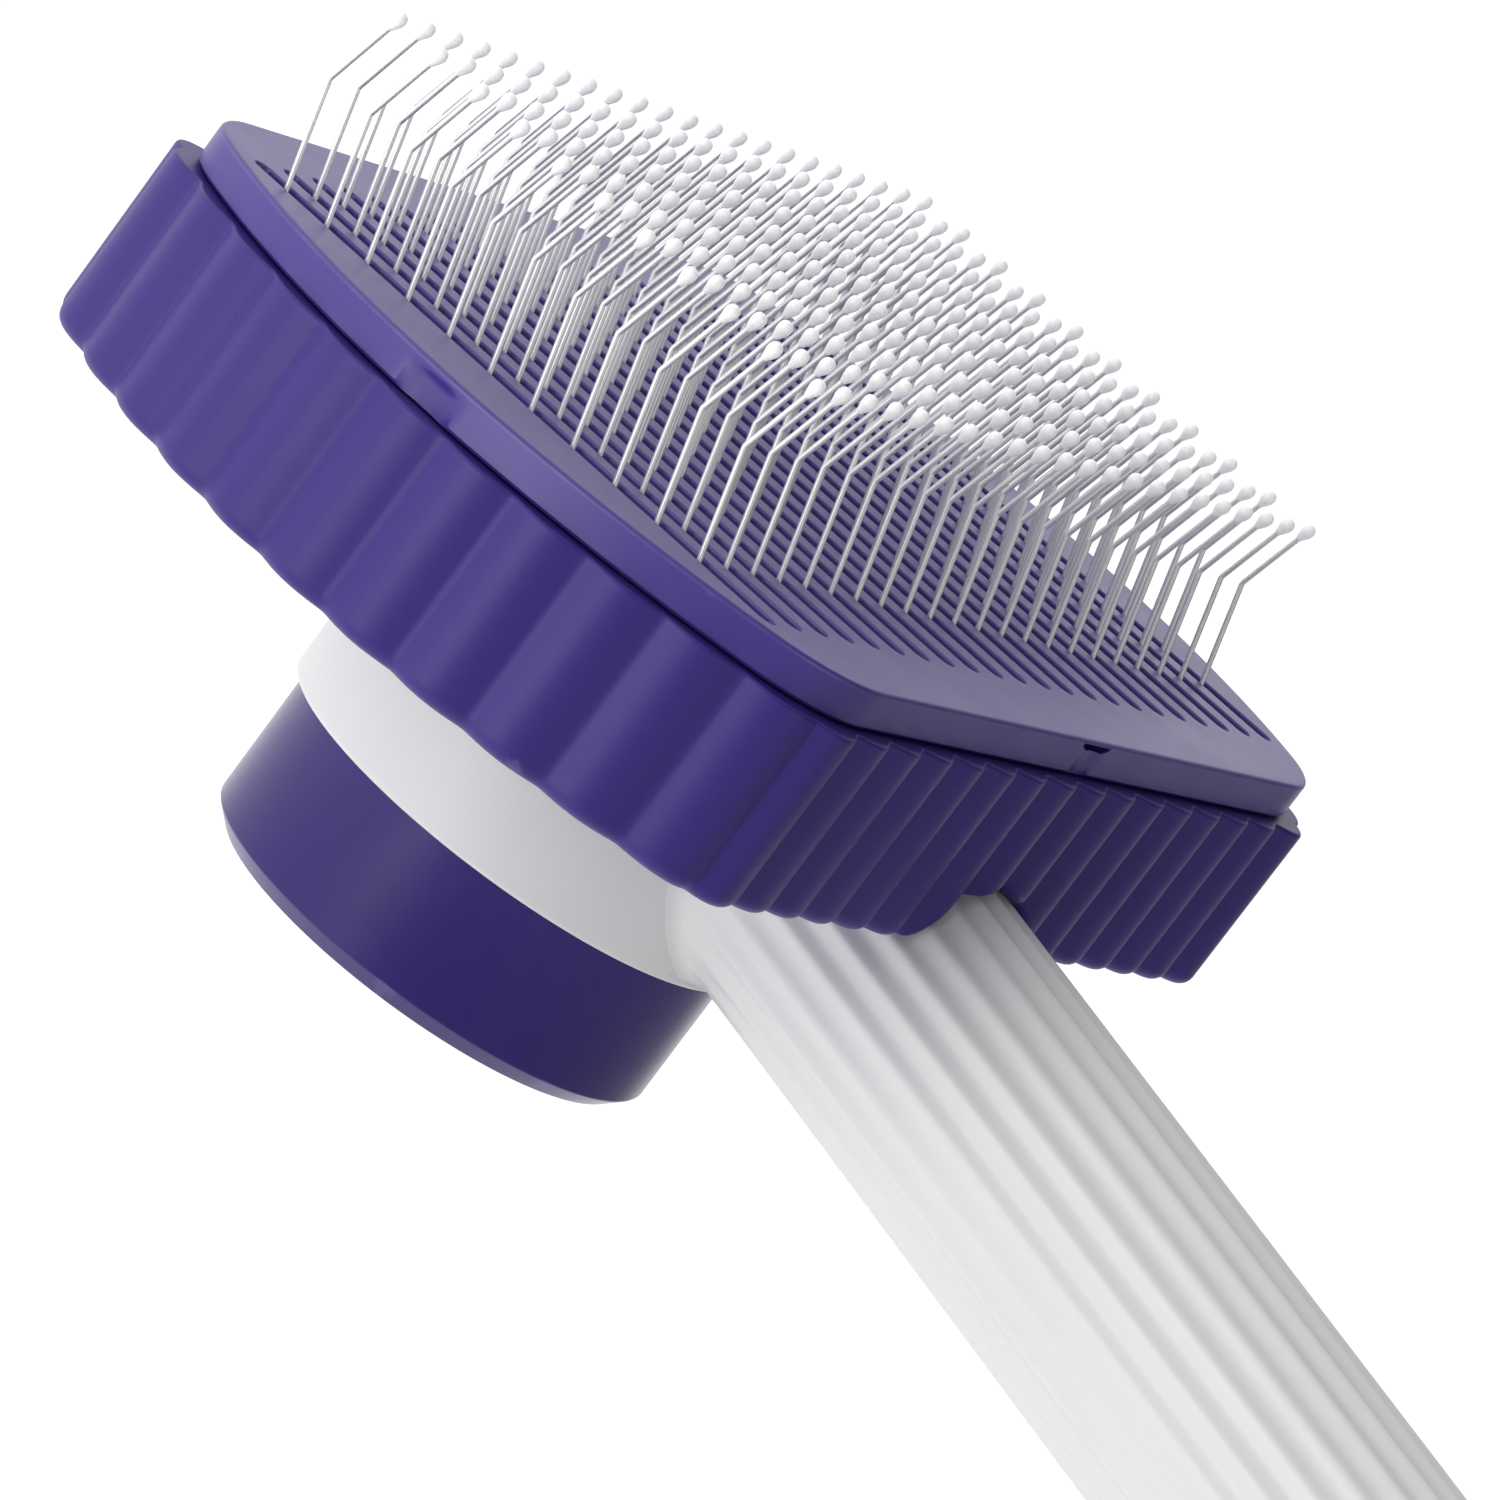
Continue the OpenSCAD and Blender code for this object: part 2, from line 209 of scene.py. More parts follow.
def wiring(tree):
    """A function that adds a node to a tree, sets its values and links its inputs."""
    def add(kind, values=None, links=None):
        node = tree.nodes.new(kind)
        for key, value in (values or {}).items():
            if isinstance(key, str) and hasattr(node, key):
                setattr(node, key, value)
            else:
                node.inputs[key].default_value = value
        for key, source in (links or {}).items():
            tree.links.new(source, node.inputs[key])
        return node

    return add


def new_material(name):
    """A node material, its tree, its shader and a function that adds nodes to it."""
    material = bpy.data.materials.new(name)
    material.use_nodes = True
    tree = material.node_tree
    return material, tree, tree.nodes["Principled BSDF"], wiring(tree)


def mottle(add, place, scale, detail=3.0, rough=0.55):
    """Noise in the object's own space."""
    return add("ShaderNodeTexNoise", {"Scale": scale, "Detail": detail, "Roughness": rough},
               {"Vector": place.outputs["Object"]})


def plastic(name, colour, dark, roughness, grain, scuff_and_sheen=None, specular=0.5, scatter=0.0, glow=0.0):
    """Moulded plastic: clouded colour, uneven gloss, fine mould grain, edges lightened in patches as
    scuffs and a painted highlight, and a glow that is painted light.
    """
    material, tree, shader, add = new_material(name)
    place = add("ShaderNodeTexCoord")
    cloud = mottle(add, place, CLOUDS)
    tint = add("ShaderNodeMix", {"data_type": "RGBA", MIX_A: (*dark, 1), MIX_B: (*colour, 1)},
               {"Factor": cloud.outputs["Fac"]})
    result = tint.outputs[MIX_RESULT]
    # Convex edges lighter in patches: scuffs, and a painted highlight
    if scuff_and_sheen:
        edge = add("ShaderNodeNewGeometry")
        ramp = add("ShaderNodeMapRange", {"From Min": SCUFF_AND_SHEEN_START, "From Max": SCUFF_AND_SHEEN_FULL},
                   {"Value": edge.outputs["Pointiness"]})
        patch = mottle(add, place, SCUFF_AND_SHEEN_PATCHES)
        share = add("ShaderNodeMath", {"operation": "MULTIPLY"},
                    {0: ramp.outputs["Result"], 1: patch.outputs["Fac"]})
        scuff_and_sheen_mix = add("ShaderNodeMix", {"data_type": "RGBA", MIX_B: (*scuff_and_sheen, 1)},
                   {"Factor": share.outputs[0], MIX_A: result})
        result = scuff_and_sheen_mix.outputs[MIX_RESULT]
    tree.links.new(result, shader.inputs["Base Color"])
    smear = mottle(add, place, SMEARS, detail=5.0)
    gloss = add("ShaderNodeMapRange", {"To Min": roughness - 0.05, "To Max": roughness + 0.06},
                {"Value": smear.outputs["Fac"]})
    tree.links.new(gloss.outputs["Result"], shader.inputs["Roughness"])
    fine = mottle(add, place, GRAINS, detail=2.0)
    bump = add("ShaderNodeBump", {"Strength": grain, "Distance": 0.05 * MM},
               {"Height": fine.outputs["Fac"]})
    tree.links.new(bump.outputs["Normal"], shader.inputs["Normal"])
    shader.inputs["IOR"].default_value = 1.48
    shader.inputs["Specular IOR Level"].default_value = specular
    if scatter:
        shader.inputs["Subsurface Weight"].default_value = scatter
        shader.inputs["Subsurface Radius"].default_value = (1.0, 1.0, 1.0)
        shader.inputs["Subsurface Scale"].default_value = 1.2 * MM
    # An emission here is painted light, on parts that are no lamp
    if glow:
        shader.inputs["Emission Color"].default_value = (1, 1, 1, 1)
        shader.inputs["Emission Strength"].default_value = glow
    return material


def metal(name, colour, roughness, streak, along="Z", metallic=1.0):
    """Drawn or plated steel: fine streaks along one axis in its gloss, and a faintly uneven colour."""
    material, tree, shader, add = new_material(name)
    place = add("ShaderNodeTexCoord")
    stretch = [STREAK_STRETCH if axis == along else 1 for axis in "XYZ"]
    drawn = add("ShaderNodeMapping", {"Scale": stretch}, {"Vector": place.outputs["Object"]})
    lines = add("ShaderNodeTexNoise", {"Scale": streak, "Detail": 4.0},
                {"Vector": drawn.outputs["Vector"]})
    gloss = add("ShaderNodeMapRange", {"To Min": roughness - 0.06, "To Max": roughness + 0.08},
                {"Value": lines.outputs["Fac"]})
    tree.links.new(gloss.outputs["Result"], shader.inputs["Roughness"])
    darker = [0.9 * c for c in colour]
    tint = add("ShaderNodeMix", {"data_type": "RGBA", MIX_A: (*darker, 1), MIX_B: (*colour, 1)},
               {"Factor": lines.outputs["Fac"]})
    tree.links.new(tint.outputs[MIX_RESULT], shader.inputs["Base Color"])
    bump = add("ShaderNodeBump", {"Strength": 0.15, "Distance": 0.02 * MM},
               {"Height": lines.outputs["Fac"]})
    tree.links.new(bump.outputs["Normal"], shader.inputs["Normal"])
    shader.inputs["Metallic"].default_value = metallic
    return material


# The lighter edge colours below are scuffs and a painted highlight
violet = plastic("violet_plastic", (0.040, 0.018, 0.206), (0.035, 0.015, 0.188),
                 roughness=0.44, grain=0.10, scuff_and_sheen=(0.11, 0.08, 0.29), specular=0.42)
button_violet = plastic("button_plastic", (0.024, 0.010, 0.150), (0.020, 0.008, 0.135),
                        roughness=0.22, grain=0.06, scuff_and_sheen=(0.10, 0.07, 0.27), specular=0.42)
plate_violet = plastic("plate_plastic", (0.054, 0.028, 0.260), (0.048, 0.024, 0.240),
                       roughness=0.37, grain=0.08, scuff_and_sheen=(0.12, 0.09, 0.32), specular=0.7)
inner_violet = plastic("inner_plastic", (0.028, 0.010, 0.17), (0.022, 0.008, 0.14),
                       roughness=0.55, grain=0.25, specular=0.3)
white = plastic("white_plastic", (0.77, 0.77, 0.78), (0.74, 0.74, 0.75),
                roughness=0.42, grain=0.08, scuff_and_sheen=(0.84, 0.84, 0.84), scatter=0.05)
# Painted light: the small tips glow faintly, standing in for light that scatters inside them
tip_white = plastic("tip_plastic", (0.98, 0.98, 0.98), (0.95, 0.95, 0.955),
                    roughness=0.18, grain=0.04, scatter=0.35, glow=0.16)
wire_steel = metal("pin_wire", (0.95, 0.95, 0.955), roughness=0.36, streak=1500.0, metallic=0.6)
screw_steel = metal("screw_steel", (0.62, 0.62, 0.63), roughness=0.32, streak=900.0, along="X")
spring_steel = metal("spring_steel", (0.55, 0.55, 0.56), roughness=0.30, streak=900.0)


# ---------------------------------------------------------------- mesh building

# What the triangulation returns, and how near to each other two of its points may be, in mm
TRIANGLES_INSIDE = 1
FILL_EPSILON = 1e-6
X_AXIS = Vector((1, 0, 0))
Z_AXIS = Vector((0, 0, 1))


class Shape:
    """A closed mesh made of loops of points, skins between loops and fills across them.

    An outer wall's loops run anticlockwise and are listed from the top fill down to the bottom fill.
    A hole's loops run clockwise and are listed the same way, so that all faces look outwards.
    """

    def __init__(self):
        self.points = []
        self.faces = []

    def loop(self, points):
        """Adds a loop's points and returns their indices."""
        first = len(self.points)
        self.points.extend(Vector(p) for p in points)
        return list(range(first, len(self.points)))

    def skin(self, loops):
        """Bands between neighbouring loops; returns the first and the last loop."""
        made = [self.loop(points) for points in loops]
        for a, b in zip(made, made[1:]):
            for i in range(len(a)):
                j = (i + 1) % len(a)
                self.faces.append((a[i], b[i], b[j], a[j]))
        return made[0], made[-1]

    def fill(self, outer, holes=(), up=True):
        """A flat fill inside the outer loop and around the holes."""
        def flat(indices):
            return [Vector((self.points[i].x / MM, self.points[i].y / MM)) for i in indices]

        loops = [outer, *holes]
        index = [i for loop in loops for i in loop]
        edges = []
        start = 0
        for loop in loops:
            n = len(loop)
            edges += [(start + i, start + (i + 1) % n) for i in range(n)]
            start += n
        rings = [flat(hole) for hole in holes]
        spots, _, triangles, origin, _, _ = delaunay_2d_cdt(
            flat(index), edges, [], TRIANGLES_INSIDE, FILL_EPSILON)
        for triangle in triangles:
            centre = (spots[triangle[0]] + spots[triangle[1]] + spots[triangle[2]]) / 3
            if any(inside(centre, ring) for ring in rings):
                continue
            face = [index[origin[k][0]] for k in triangle]
            self.faces.append(tuple(face if up else reversed(face)))

    def cap(self, loop, up=True):
        """A fan from a loop to its middle."""
        middle = sum((self.points[i] for i in loop), Vector()) / len(loop)
        hub = len(self.points)
        self.points.append(middle)
        for i in range(len(loop)):
            pair = (loop[i], loop[(i + 1) % len(loop)])
            self.faces.append((*pair, hub) if up else (pair[1], pair[0], hub))

    def mesh(self, name):
        """The shape as a Blender mesh."""
        data = bpy.data.meshes.new(name)
        data.from_pydata([p[:] for p in self.points], [], self.faces)
        data.validate()
        return data


def inside(point, ring):
    """Whether a point is inside a closed ring, by counting crossings."""
    hit = False
    for a, b in zip(ring, [*ring[1:], ring[0]]):
        if (a.y > point.y) != (b.y > point.y):
            if point.x < (b.x - a.x) * (point.y - a.y) / (b.y - a.y) + a.x:
                hit = not hit
    return hit


def smooth(obj, sharp=32):
    """Smooth shading with sharp edges kept, and flats kept flat beside small roundings."""
    for polygon in obj.data.polygons:
        polygon.use_smooth = True
    obj.data.set_sharp_from_angle(angle=math.radians(sharp))
    weigh = obj.modifiers.new("weigh", "WEIGHTED_NORMAL")
    weigh.keep_sharp = True
    weigh.weight = 60


def piece(name, data, material, body, replaced=(), sharp=32):
    """A new piece of the object, riding on a body in place of the CAD nodes it stands for."""
    obj = bpy.data.objects.new(name, data)
    scene.collection.objects.link(obj)
    data.materials.append(material)
    smooth(obj, sharp)
    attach(obj, body)
    if replaced:
        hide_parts(*replaced)
    return obj


def direction(angle):
    """A level unit vector at an angle from +X."""
    return Vector((math.cos(angle), math.sin(angle), 0))


def circle(x, y, r, z, n, clockwise=False):
    """A level circle's points."""
    points = [Vector((x, y, z)) + r * direction(TURN * i / n) for i in range(n)]
    return points[::-1] if clockwise else points


def rings(profile, n):
    """Loops of a turned shape from a profile of (radius, z)."""
    return [circle(0, 0, r, z, n) for r, z in profile]


def tilted_circle(middle, r, across, up, n):
    """A circle's points in the plane of two directions."""
    angles = [TURN * i / n for i in range(n)]
    return [middle + r * (across * math.cos(a) + up * math.sin(a)) for a in angles]


def arc(r, z, radius, start, end, steps):
    """Points of a profile's round corner about (r, z), from one angle to another."""
    angles = [start + (end - start) * i / steps for i in range(steps + 1)]
    return [(r + radius * math.cos(a), z + radius * math.sin(a)) for a in angles]


def round_over(radius, steps):
    """(distance in from a wall, distance down from a flat) along a quarter round, from flat to wall."""
    angles = [QUARTER * i / steps for i in range(steps + 1)]
    return [(radius * (1 - math.sin(a)), radius * (1 - math.cos(a))) for a in angles]


def ease(share):
    """A soft step from 0 to 1."""
    share = min(1, max(0, share))
    return share * share * (3 - 2 * share)


# ---------------------------------------------------------------- the head's outline

def corner_spot(r, half_y, corner):
    """x of a corner's centre, and the angle at which the corner meets the bulging side."""
    x = math.sqrt((r - corner) ** 2 - (half_y - corner) ** 2)
    return x, math.atan2(half_y - corner, x)


def end_spot(r, half_y, corner, s):
    """Point and outward normal at a length s along the bulging right end, corner to corner."""
    cx, meet = corner_spot(r, half_y, corner)
    turn_len = corner * (QUARTER - meet)
    side_len = r * 2 * meet
    if s < turn_len:
        normal = direction(-QUARTER + s / corner)
        return Vector((cx, corner - half_y, 0)) + corner * normal, normal
    if s < turn_len + side_len:
        normal = direction(-meet + (s - turn_len) / r)
        return r * normal, normal
    normal = direction(meet + (s - turn_len - side_len) / corner)
    return Vector((cx, half_y - corner, 0)) + corner * normal, normal


def head_spots(extra, corner, short_steps, long_shares):
    """(point, normal, flute phase) all round the head, anticlockwise from the lower right corner.

    extra is how far the outline stands out beyond the plate's, and corner its corner radius.
    long_shares gives the stops along a long side as shares of it, from 0 at +X to 1 at -X.
    """
    r = PLATE_R + extra
    half_y = PLATE_HALF_Y + extra
    cx, meet = corner_spot(r, half_y, corner)
    length = 2 * corner * (QUARTER - meet) + 2 * r * meet
    half = []
    for i in range(short_steps):
        point, normal = end_spot(r, half_y, corner, length * i / short_steps)
        half.append((point, normal, FLUTES_SHORT * i / short_steps))
    for share in long_shares:
        point = Vector((cx * (1 - 2 * share), half_y, 0))
        half.append((point, Vector((0, 1, 0)), FLUTES_LONG * share))
    return half + [(-point, -normal, phase) for point, normal, phase in half]


def flute(phase, normal):
    """Depth of a flute: broad round crests with a narrow hollow between them."""
    crest = math.sqrt(math.cos(math.pi * phase) ** 2 + HOLLOW_EASE ** 2)
    hollow = 1 - (crest - HOLLOW_EASE) / (math.sqrt(1 + HOLLOW_EASE ** 2) - HOLLOW_EASE)
    return FLUTE_DEPTH * (1 - END_EASE * normal.x ** 2) * hollow


# ---------------------------------------------------------------- head shell

# The arch is in the long side beyond ARCH_SIDE
ARCH_CLEAR = 0.1 * MM
ARCH_SIDE = -30 * MM
STEPS_PER_FLUTE = 16
RIM_TOP_ROUND = 0.35 * MM
RIM_LOW_ROUND = 1.3 * MM
RIM_LIP = 0.35 * MM
DECK_ROOT = 0.4 * MM
HOLE_RIM = 0.08 * MM
HOLE_SIDES = 24


def arch_height(point):
    """Height of the lower edge at a point: the long side towards the handle is cut to clear it."""
    reach = HANDLE_R + ARCH_CLEAR
    if point.y > ARCH_SIDE or abs(point.x) >= reach:
        return SHELL_LOW
    axis = HANDLE_Z + point.y * math.tan(HANDLE_TILT)
    return max(SHELL_LOW, axis + math.sqrt(reach ** 2 - point.x ** 2) / math.cos(HANDLE_TILT))


def make_shell():
    """The rim with the deck in it: from the deck's top over the rim's top and foot to its underside.

    Narrow flat rings beside the deck's edges keep the lighter band on them, scuffs and a painted
    highlight, narrow.
    """
    long_steps = FLUTES_LONG * STEPS_PER_FLUTE
    short_steps = FLUTES_SHORT * STEPS_PER_FLUTE
    shares = [i / long_steps for i in range(long_steps)]
    walls = head_spots(SHELL_MARGIN, SHELL_CORNER, short_steps, shares)
    recess = head_spots(-RECESS_IN, PLATE_CORNER - RECESS_IN, short_steps, shares)

    def loop(spots, inset, z, from_low=False):
        points = []
        for point, normal, phase in spots:
            depth = flute(phase, normal) if spots is walls else 0
            p = point - normal * (inset + depth)
            p.z = arch_height(p) + z if from_low else z
            points.append(p)
        return points

    loops = [loop(recess, HOLE_RIM, DECK_TOP), loop(recess, 0, DECK_TOP)]
    loops += [loop(recess, 0, SHELL_TOP - RIM_LIP), loop(recess, -RIM_LIP, SHELL_TOP)]
    loops += [loop(walls, inset, SHELL_TOP - down) for inset, down in round_over(RIM_TOP_ROUND, 5)]
    loops += [loop(walls, inset, up, True) for inset, up in reversed(round_over(RIM_LOW_ROUND, 6))]
    loops += [loop(recess, -RIM_LIP, 0, True), loop(recess, 0, RIM_LIP, True)]
    loops += [loop(recess, inset, DECK_LOW - down)
              for inset, down in reversed(round_over(DECK_ROOT, 4))]
    loops += [loop(recess, DECK_ROOT + HOLE_RIM, DECK_LOW)]
    shape = Shape()
    top, bottom = shape.skin(loops)
    stops = ((HOLE_RIM, DECK_TOP), (0, DECK_TOP), (0, DECK_LOW), (HOLE_RIM, DECK_LOW))
    bores = [shape.skin([circle(x, y, ROD_HOLE_R + out, z, HOLE_SIDES, True) for out, z in stops])
             for x, y in ROD_PLACES + GUIDE_PLACES]
    shape.fill(top, [bore[0] for bore in bores], up=True)
    shape.fill(bottom, [bore[1] for bore in bores], up=False)
    return piece("shell", shape.mesh("shell"), violet, BODY, ["head_shell"])


# ---------------------------------------------------------------- cleaning plate

PLATE_EDGE = 0.35 * MM
PLATE_LIP = 0.25 * MM
PLATE_RIM = 0.4 * MM
PLATE_END_STEPS = 320
SLOT_CHAMFER = 0.16 * MM
SLOT_END_STEPS = 10

# Marks in the plate's wall: half their widths, depths, and distances down from the plate's top
MARK_SIDE = PLATE_HALF_Y - 2 * MM
GROOVE_HALF = 2.3 * MM
GROOVE_DEEP = 0.3 * MM
GROOVE_TOP = 0.95 * MM
POCKET_HALF = 2.4 * MM
POCKET_TOP = 0.36 * MM
POCKET_H = 0.64 * MM
POCKET_DEEP = 1.5 * MM
SCALLOP_HALF = 3.4 * MM
SCALLOP_DEEP = 0.5 * MM
SCALLOP_TOP = 0.35 * MM
SCALLOP_SLOPE = 1.25
SCALLOP_FADE = 1.1 * MM
SCALLOP_ROWS = [1.2 * MM, 1.5 * MM]
SHARP_STEP = 0.01 * MM


def plate_dent(point, drop):
    """How far the plate's wall stands in at a point, at a distance down from the plate's top.

    A groove and a pocket are in the middles of the long sides, and a thumb scallop in the middles
    of the short sides.
    """
    if abs(point.y) > MARK_SIDE:
        x = abs(point.x)
        dent = 0
        if drop > GROOVE_TOP and x < GROOVE_HALF:
            dent = GROOVE_DEEP * math.cos(QUARTER * x / GROOVE_HALF) ** 2
        sink = (drop - POCKET_TOP) / POCKET_H
        if 0 < sink < 1 and x < POCKET_HALF * math.sqrt(1 - sink ** 2):
            dent = POCKET_DEEP
        return dent
    across = abs(point.y) / SCALLOP_HALF
    return (SCALLOP_DEEP * ease(SCALLOP_SLOPE * (1 - across))
            * ease((drop - SCALLOP_TOP) / SCALLOP_FADE))


def plate_stops():
    """Stops along a long side of the plate, close together at the marks in its middle."""
    coarse = 40
    fine = 64
    fine_share = 0.125
    gap = 0.07
    stops = [i / coarse for i in range(coarse) if abs(i / coarse - 0.5) > gap]
    return sorted(stops + [0.5 + (i / fine - 0.5) * fine_share for i in range(fine + 1)])


def wall_drops():
    """Distances down from the plate's top at which its wall has loops."""
    drops = [POCKET_TOP - SHARP_STEP, POCKET_TOP + SHARP_STEP]
    drops += [POCKET_TOP + POCKET_H * math.sin(QUARTER * i / 9) for i in range(1, 10)]
    drops += [GROOVE_TOP - SHARP_STEP, GROOVE_TOP + SHARP_STEP]
    drops += [*SCALLOP_ROWS, PLATE_TOP - PLATE_LOW - PLATE_LIP]
    return sorted(drops)


def stadium(x, grow, z):
    """A slot's loop, clockwise."""
    r = SLOT_R + grow
    reach = SLOT_HALF - SLOT_R
    turns = [math.pi * i / SLOT_END_STEPS for i in range(SLOT_END_STEPS + 1)]
    upper = [Vector((x, reach, z)) + r * direction(a) for a in turns]
    lower = [Vector((x, -reach, z)) + r * direction(math.pi + a) for a in turns]
    return (upper + lower)[::-1]


def column_x(column):
    """x of a column of pins, and of the slot that it stands through."""
    return (column - (COLUMNS - 1) / 2) * COLUMN_PITCH


def make_plate():
    """The slotted plate with its wall, from its top down its wall and up inside to its underside.

    Narrow flat rings beside the top's edges keep the lighter band on them, scuffs and a painted
    highlight, narrow.
    """
    spots = head_spots(0, PLATE_CORNER, PLATE_END_STEPS, plate_stops())
    under = PLATE_TOP - PLATE_T

    def loop(inset, z, dented=False):
        points = []
        for point, normal, _ in spots:
            dent = plate_dent(point, PLATE_TOP - z) if dented else 0
            p = point - normal * max(inset, dent)
            p.z = z
            points.append(p)
        return points

    loops = [loop(PLATE_EDGE + PLATE_RIM, PLATE_TOP)]
    loops += [loop(inset, PLATE_TOP - down) for inset, down in round_over(PLATE_EDGE, 4)]
    loops += [loop(0, PLATE_TOP - drop, True) for drop in wall_drops()]
    loops += [loop(PLATE_LIP, PLATE_LOW, True), loop(PLATE_WALL - PLATE_LIP, PLATE_LOW)]
    loops += [loop(PLATE_WALL, PLATE_LOW + PLATE_LIP), loop(PLATE_WALL, under - PLATE_LIP)]
    loops += [loop(PLATE_WALL + PLATE_LIP, under)]
    shape = Shape()
    top, bottom = shape.skin(loops)
    mouth = [(SLOT_CHAMFER + PLATE_RIM / 2, PLATE_TOP), (SLOT_CHAMFER, PLATE_TOP),
             (0.4 * SLOT_CHAMFER, PLATE_TOP - 0.4 * SLOT_CHAMFER),
             (0, PLATE_TOP - 1.3 * SLOT_CHAMFER), (0, under)]
    slots = [shape.skin([stadium(column_x(c), grow, z) for grow, z in mouth])
             for c in range(COLUMNS)]
    shape.fill(top, [slot[0] for slot in slots], up=True)
    shape.fill(bottom, [slot[1] for slot in slots], up=False)
    return piece("comb_plate", shape.mesh("comb_plate"), plate_violet, MOVING,
                 ["cleaning_plate"])


# ---------------------------------------------------------------- handle and collar

HANDLE_AXIS = Vector((0, -math.cos(HANDLE_TILT), -math.sin(HANDLE_TILT)))
HANDLE_UP = Vector((0, -math.sin(HANDLE_TILT), math.cos(HANDLE_TILT)))
HANDLE_ROOT = Vector((0, 0, HANDLE_Z))
HANDLE_EDGE = 0.35 * MM
STEPS_PER_RIDGE = 12
COLLAR_SIDES = 256
ROOF_HOLE_R = 1.32 * MM
ROOF_HOLE_SIDES = 32
RIDGE_POWER = 1.6

# The fillet between handle and collar (FOOT and HEAD are its distances from the collar's edges), the
# tube's hidden start, and the lengths at which the tube has loops
FILLET_MAX = 1.3 * MM
FILLET_MIN = 0.12 * MM
FILLET_SWING = math.radians(80)
FILLET_SINK = 0.35 * MM
FILLET_FOOT = 0.4 * MM
FILLET_HEAD = 0.1 * MM
FLUTE_FADE = 9 * MM
GRIP_START = 16 * MM
GRIP_START_R = HANDLE_R - 3 * MM
NEAR_STOPS = [s * MM for s in (1.9, 2.7, 3.7, 4.8, 6, 7.3, 8.6, 10.5, 13, 16)]
FAR_STOPS = [s * MM for s in (46, 70, 94, 118, 142.2)]


def handle_point(angle, r, s):
    """A point at an angle round the handle, a radius r and a length s along its axis."""
    out = X_AXIS * math.cos(angle) + HANDLE_UP * math.sin(angle)
    return HANDLE_ROOT + HANDLE_AXIS * s + r * out


def collar_hit(angle, r):
    """Length along the handle at which a line parallel to its axis meets the collar's surface."""
    x = r * math.cos(angle)
    lift = r * math.sin(angle) * math.sin(HANDLE_TILT)
    return (math.sqrt(COLLAR_R ** 2 - x ** 2) - lift) / math.cos(HANDLE_TILT)


def handle_flute(phase):
    """Hollow of a handle flute, from 0 on a ridge to 1: an even wave with slightly crisper ridges."""
    return abs(math.sin(math.pi * phase)) ** RIDGE_POWER


def fillet_radius(angle):
    """Radius of the fillet between handle and collar, smaller near the collar's two edges."""
    z = handle_point(angle, HANDLE_R, collar_hit(angle, HANDLE_R)).z
    room = min(z - COLLAR_LOW - FILLET_FOOT, DECK_LOW - z - FILLET_HEAD)
    return min(FILLET_MAX, max(FILLET_MIN, room))


def make_grip():
    """The fluted tube, whose flutes fade out where a fillet runs into the collar."""
    n = HANDLE_FLUTES * STEPS_PER_RIDGE

    def loop(spot):
        """A loop from a function that gives radius, length and share of the flutes at an angle."""
        points = []
        for i in range(n):
            angle = TURN * i / n
            r, s, share = spot(angle)
            r -= HANDLE_DEPTH * ease(share) * handle_flute(i / STEPS_PER_RIDGE)
            points.append(handle_point(angle, r, s))
        return points

    def straight(r, s):
        """A loop square to the axis, with full flutes."""
        return loop(lambda angle: (r, s, 1))

    def fillet(swing, deeper=0.0):
        """A loop on the fillet, at an angle of swing from the tube towards the collar."""
        def spot(angle):
            rho = fillet_radius(angle)
            r = HANDLE_R + rho * (1 - math.cos(swing))
            reach = rho * (1 - math.sin(swing))
            return r, collar_hit(angle, r) + reach - deeper, reach / FLUTE_FADE
        return loop(spot)

    def near_collar(stop):
        """A loop on the tube that follows the collar's curve at a distance."""
        def spot(angle):
            reach = max(stop, fillet_radius(angle))
            return HANDLE_R, collar_hit(angle, HANDLE_R) + reach, reach / FLUTE_FADE
        return loop(spot)

    loops = [straight(GRIP_START_R, GRIP_START), fillet(FILLET_SWING, deeper=FILLET_SINK)]
    loops += [fillet(FILLET_SWING * (1 - i / 6)) for i in range(6)]
    loops += [near_collar(stop) for stop in NEAR_STOPS]
    loops += [straight(HANDLE_R, stop) for stop in FAR_STOPS]
    loops += [straight(HANDLE_R - HANDLE_EDGE, HANDLE_LEN)]
    shape = Shape()
    first, last = shape.skin(loops)
    shape.cap(first, up=True)
    shape.cap(last, up=False)
    return shape


def boolean(data, other, operation):
    """The mesh that is left when another closed mesh is joined to it or cut out of it."""
    base = bpy.data.objects.new("base", data)
    tool = bpy.data.objects.new("tool", other)
    for obj in (base, tool):
        scene.collection.objects.link(obj)
    modifier = base.modifiers.new("cut", "BOOLEAN")
    modifier.object = tool
    modifier.operation = operation
    modifier.solver = "EXACT"
    bpy.context.view_layer.update()
    graph = bpy.context.evaluated_depsgraph_get()
    made = bpy.data.meshes.new_from_object(base.evaluated_get(graph))
    bpy.data.objects.remove(base)
    bpy.data.objects.remove(tool)
    return made


def make_drum():
    """The collar's outside, closed at both ends."""
    edge = 0.35 * MM
    drum = Shape()
    profile = [(COLLAR_R - edge, DECK_LOW)]
    profile += arc(COLLAR_R - edge, DECK_LOW - edge, edge, QUARTER, 0, 3)[1:]
    profile += arc(COLLAR_R - edge, COLLAR_LOW + edge, edge, 0, -QUARTER, 4)
    first, last = drum.skin(rings(profile, COLLAR_SIDES))
    drum.cap(first, up=True)
    drum.cap(last, up=False)
    return drum


